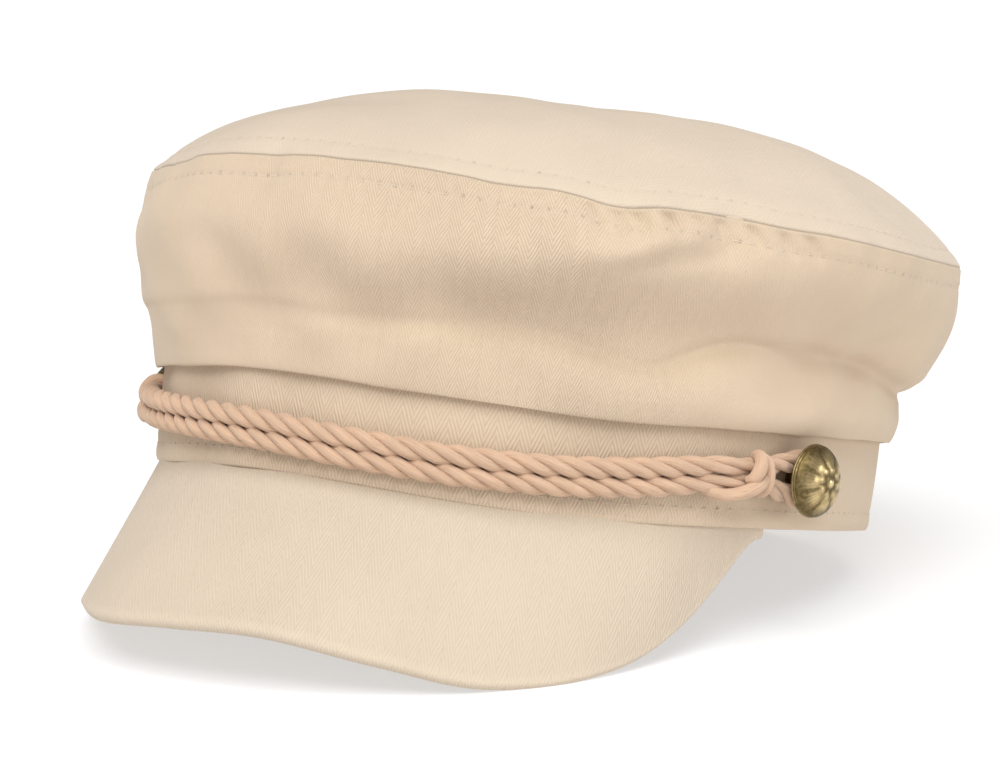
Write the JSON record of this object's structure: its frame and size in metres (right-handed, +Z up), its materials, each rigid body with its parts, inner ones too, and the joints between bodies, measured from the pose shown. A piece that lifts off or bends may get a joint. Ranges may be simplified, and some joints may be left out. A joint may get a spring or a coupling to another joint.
{
  "type": "breton fisherman cap",
  "caption": "Herringbone cotton breton fisherman cap with a puffed crown, upright band, sloping peak, laid cotton cord and domed brass buttons, standing on its peak and band.",
  "frame": {"origin": "middle of the cap's outline, on the surface it rests on", "axes": "+Z up from the resting surface, +X towards the wearer's left, -Y towards the peak; the cap leans back until the peak's corners and the back of the band touch the surface"},
  "size_m": [0.2024, 0.2628, 0.1271],
  "materials": {
    "cloth": "matte herringbone cotton",
    "cloth_top": "matte herringbone cotton",
    "cord": "soft laid cotton",
    "brass": "antiqued"
  },
  "bodies": {
    "root": {"band": "cloth", "peak": "cloth", "crown_side": "cloth", "crown_top": "cloth_top", "cord": "cord", "cord_knot_left": "cord", "cord_knot_right": "cord", "button_left": "brass", "button_right": "brass"}
  },
  "joints": []
}
